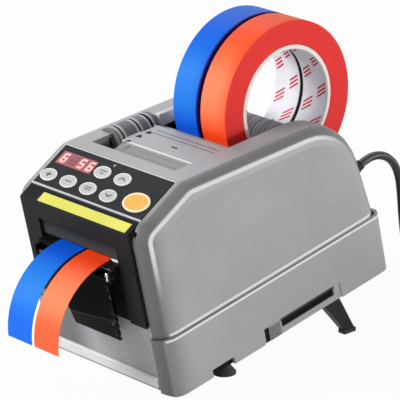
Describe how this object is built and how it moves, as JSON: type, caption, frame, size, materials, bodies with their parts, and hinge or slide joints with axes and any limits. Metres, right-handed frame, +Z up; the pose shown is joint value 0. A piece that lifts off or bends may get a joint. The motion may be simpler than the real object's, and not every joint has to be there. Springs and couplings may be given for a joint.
{
  "type": "electric tape dispenser",
  "caption": "Desktop electric tape dispenser with a sloping keypad, a swing-up front cover, a guillotine cutter, feed rollers under a lid and an open bay for tape rolls.",
  "frame": {"origin": "centre of the box round the machine and its tapes, on the surface that it stands on, leaving out the mains lead", "axes": "+Z up, front with the tape outlet facing -Y, +X to the machine's left as seen from the front"},
  "size_m": [0.2267, 0.4019, 0.2265],
  "materials": {
    "housing_grey": "fine satin moulding",
    "lid_grey": "satin moulding",
    "bezel_black": "satin black",
    "hood_grey": "glossy dark grey",
    "rib_grey": "ribbed",
    "lip_pale": "smooth pale strip",
    "keypad_membrane": "printed membrane",
    "label_yellow": "bare adhesive label",
    "key_grey": "domed key",
    "start_orange": "domed key",
    "display_red": "lit red window",
    "led_clear": "clear",
    "board_green": "circuit board",
    "chassis_steel": "zinc plated sheet",
    "blade_steel": "ground",
    "guide_steel": "satin",
    "bright_steel": "bright",
    "motor_can": "plated can",
    "transformer_dark": "varnished laminations",
    "gear_plastic": "natural nylon",
    "roller_rubber": "matt",
    "drum_grey": "ribbed dark plastic",
    "foot_rubber": "matt",
    "leg_dark": "satin",
    "blue_tape": "crepe paper masking tape",
    "orange_tape": "crepe paper masking tape",
    "core_card": "white faced card",
    "switch_black": "moulded",
    "rocker_black": "moulded",
    "cord_black": "flexible sheath"
  },
  "bodies": {
    "machine": {"base_tub": "housing_grey", "upper_housing": "housing_grey", "keypad_overlay": "keypad_membrane", "display_window": "display_red", "status_led": "led_clear", "control_board": "board_green", "outlet_panel": "bezel_black", "flap_pin": "bright_steel", "ribbed_panel": "rib_grey", "front_lip": "lip_pale", "front_foot_left": "foot_rubber", "front_foot_right": "foot_rubber", "chassis_left": "chassis_steel", "chassis_right": "chassis_steel", "roll_tray": "housing_grey", "hinge_bracket": "lid_grey", "hinge_pin": "bright_steel", "feed_motor": "motor_can", "cutter_motor": "motor_can", "fixed_blade": "blade_steel", "tape_guide": "guide_steel", "blue_strip": "blue_tape", "orange_strip": "orange_tape", "mains_transformer": "transformer_dark", "switch_frame": "switch_black", "strain_relief": "cord_black", "power_cord": "cord_black", "cord_coil": "cord_black", "cord_tie": "cord_black", "plug": "cord_black"},
    "front_cover": {"front_bezel": "bezel_black", "label_band": "label_yellow", "outlet_hood": "hood_grey"},
    "lid": {"pressure_lid": "lid_grey"},
    "press_roller": {"pressure_roller": "roller_rubber"},
    "feed_drive": {"feed_roller": "roller_rubber", "feed_gear": "gear_plastic"},
    "drive_pinion": {"motor_pinion": "bright_steel"},
    "cutter_drive": {"cutter_pinion": "bright_steel"},
    "blade": {"moving_blade": "blade_steel"},
    "flap": {"outlet_flap": "bezel_black"},
    "drum": {"keeper_drum": "drum_grey"},
    "cradle_front": {"cradle_roller_front": "roller_rubber"},
    "cradle_rear": {"cradle_roller_rear": "roller_rubber"},
    "blue_roll": {"blue_tape": "blue_tape", "blue_core": "core_card"},
    "orange_roll": {"orange_tape": "orange_tape", "orange_core": "core_card"},
    "rocker": {"power_rocker": "rocker_black"},
    "leg_left": {"rear_leg_left": "leg_dark", "leg_pad_left": "foot_rubber"},
    "leg_right": {"rear_leg_right": "leg_dark", "leg_pad_right": "foot_rubber"},
    "key_1": {"key_1": "key_grey"},
    "key_2": {"key_2": "key_grey"},
    "key_3": {"key_3": "key_grey"},
    "key_4": {"key_4": "key_grey"},
    "key_5": {"key_5": "key_grey"},
    "key_6": {"key_6": "key_grey"},
    "key_start": {"key_start": "start_orange"}
  },
  "joints": [
    {"name": "key_1_press", "type": "slide", "parent": "machine", "child": "key_1", "axis": [0, 0.5388, -0.8425], "range_m": [0, 0.0008], "stiffness_N_per_m": 300, "springref_m": -0.0005},
    {"name": "key_2_press", "type": "slide", "parent": "machine", "child": "key_2", "axis": [0, 0.5388, -0.8425], "range_m": [0, 0.0008], "stiffness_N_per_m": 300, "springref_m": -0.0005},
    {"name": "key_3_press", "type": "slide", "parent": "machine", "child": "key_3", "axis": [0, 0.5388, -0.8425], "range_m": [0, 0.0008], "stiffness_N_per_m": 300, "springref_m": -0.0005},
    {"name": "key_4_press", "type": "slide", "parent": "machine", "child": "key_4", "axis": [0, 0.5388, -0.8425], "range_m": [0, 0.0008], "stiffness_N_per_m": 300, "springref_m": -0.0005},
    {"name": "key_5_press", "type": "slide", "parent": "machine", "child": "key_5", "axis": [0, 0.5388, -0.8425], "range_m": [0, 0.0008], "stiffness_N_per_m": 300, "springref_m": -0.0005},
    {"name": "key_6_press", "type": "slide", "parent": "machine", "child": "key_6", "axis": [0, 0.5388, -0.8425], "range_m": [0, 0.0008], "stiffness_N_per_m": 300, "springref_m": -0.0005},
    {"name": "key_start_press", "type": "slide", "parent": "machine", "child": "key_start", "axis": [0, 0.5388, -0.8425], "range_m": [0, 0.0008], "stiffness_N_per_m": 300, "springref_m": -0.0005},
    {"name": "cover_hinge", "type": "hinge", "parent": "machine", "child": "front_cover", "pos_m": [0, -0.09065, 0.12036], "axis": [-1, 0, 0], "range_deg": [0, 80]},
    {"name": "lid_hinge", "type": "hinge", "parent": "machine", "child": "lid", "pos_m": [-0.046, -0.00409, 0.14558], "axis": [0, -0.9945, -0.1045], "range_deg": [0, 105]},
    {"name": "press_spin", "type": "hinge", "parent": "lid", "child": "press_roller", "pos_m": [0, -0.01777, 0.11898], "axis": [1, 0, 0], "continuous": true},
    {"name": "feed_spin", "type": "hinge", "parent": "machine", "child": "feed_drive", "pos_m": [0, -0.01374, 0.1], "axis": [1, 0, 0], "continuous": true},
    {"name": "pinion_spin", "type": "hinge", "parent": "machine", "child": "drive_pinion", "pos_m": [0, 0.0047, 0.0856], "axis": [1, 0, 0], "continuous": true},
    {"name": "blade_slide", "type": "slide", "parent": "machine", "child": "blade", "axis": [0, 0.2079, -0.9781], "range_m": [0, 0.00628]},
    {"name": "cutter_spin", "type": "hinge", "parent": "machine", "child": "cutter_drive", "pos_m": [0, -0.06702, 0.07171], "axis": [1, 0, 0], "range_deg": [0, 60]},
    {"name": "flap_hinge", "type": "hinge", "parent": "machine", "child": "flap", "pos_m": [0, -0.09506, 0.08579], "axis": [-1, 0, 0], "range_deg": [0, 25], "stiffness_Nm_per_rad": 0.004, "springref_deg": -17.19},
    {"name": "drum_spin", "type": "hinge", "parent": "machine", "child": "drum", "pos_m": [0, 0.06295, 0.1445], "axis": [1, 0, 0], "continuous": true},
    {"name": "cradle_front_spin", "type": "hinge", "parent": "machine", "child": "cradle_front", "pos_m": [0, 0.04295, 0.1099], "axis": [1, 0, 0], "continuous": true},
    {"name": "cradle_rear_spin", "type": "hinge", "parent": "machine", "child": "cradle_rear", "pos_m": [0, 0.10473, 0.1099], "axis": [1, 0, 0], "continuous": true},
    {"name": "blue_roll_spin", "type": "hinge", "parent": "machine", "child": "blue_roll", "pos_m": [0, 0.07384, 0.168], "axis": [1, 0, 0], "continuous": true},
    {"name": "orange_roll_spin", "type": "hinge", "parent": "machine", "child": "orange_roll", "pos_m": [0, 0.07384, 0.168], "axis": [1, 0, 0], "continuous": true},
    {"name": "rocker_switch", "type": "hinge", "parent": "machine", "child": "rocker", "pos_m": [-0.022, 0.12133, 0.09487], "axis": [-1, 0, 0], "range_deg": [0, 16]},
    {"name": "leg_left_fold", "type": "hinge", "parent": "machine", "child": "leg_left", "pos_m": [0, 0.07726, 0.03746], "axis": [1, 0, 0], "range_deg": [-112, 0]},
    {"name": "leg_right_fold", "type": "hinge", "parent": "machine", "child": "leg_right", "pos_m": [0, 0.07726, 0.03746], "axis": [1, 0, 0], "range_deg": [-112, 0]}
  ],
  "couplings": [
    {"joint": "press_spin", "follows": "feed_spin", "ratio": -1.1111},
    {"joint": "pinion_spin", "follows": "feed_spin", "ratio": -2},
    {"joint": "cutter_spin", "follows": "blade_slide", "rad_per_m": 166.67}
  ]
}
